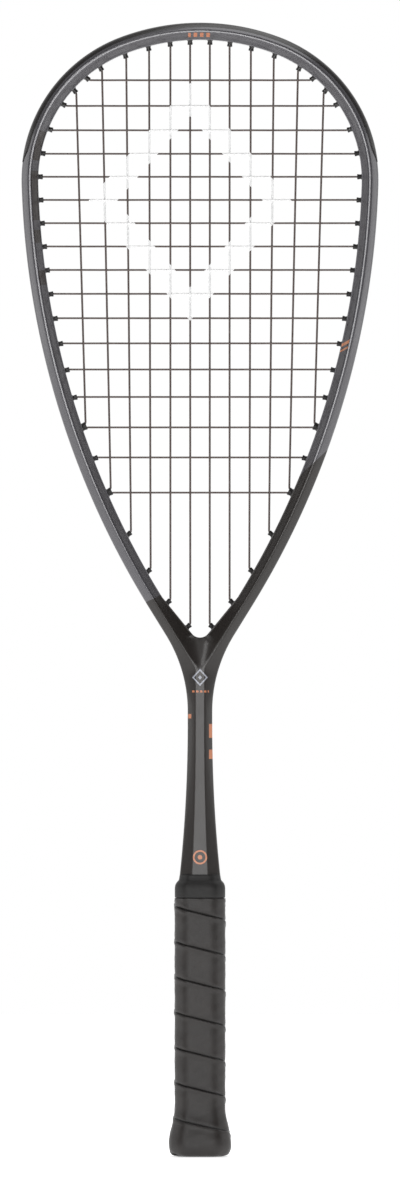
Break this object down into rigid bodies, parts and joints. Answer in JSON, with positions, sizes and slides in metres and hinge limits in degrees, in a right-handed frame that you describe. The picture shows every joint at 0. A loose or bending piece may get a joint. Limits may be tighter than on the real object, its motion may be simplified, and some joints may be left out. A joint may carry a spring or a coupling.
{
  "type": "squash racket",
  "caption": "Teardrop-headed squash racket with an open forked throat, bevelled beam, full string bed, grommets, bumper guard and wrapped octagonal handle.",
  "frame": {"origin": "centre of the butt end, where the racket stands on its handle", "axes": "+Z runs along the handle and shaft to the crown of the head; +X across the head in the string plane; +Y from the front face to the back face"},
  "size_m": [0.2162, 0.0338, 0.6862],
  "materials": {
    "frame_paint": "satin metallic gunmetal and black-brown paint over carbon fibre, with small copper and silver marks",
    "grommet_plastic": "moulded black nylon",
    "string": "dark taupe-brown coated multifilament",
    "pallet_foam": "dense dark foam",
    "cap_plastic": "moulded black plastic",
    "staple_steel": "plain wire",
    "grip": "satin black-brown synthetic leather, wound in overlapping turns",
    "tape": "black adhesive tape",
    "collar_rubber": "soft black rubber"
  },
  "bodies": {
    "racket": {"frame": "frame_paint", "bumper_guard": "grommet_plastic", "side_grommets_left": "grommet_plastic", "side_grommets_right": "grommet_plastic", "throat_grommets_left": "grommet_plastic", "throat_grommets_right": "grommet_plastic", "main_string": "string", "cross_string": "string", "handle_pallet": "pallet_foam", "butt_cap": "cap_plastic", "butt_cap_staples": "staple_steel", "grip_wrap": "grip", "finishing_tape": "tape"},
    "collar": {"grip_collar": "collar_rubber"}
  },
  "joints": [
    {"name": "collar_slide", "type": "slide", "parent": "racket", "child": "collar", "axis": [0, 0, 1], "range_m": [0, 0.025]}
  ]
}
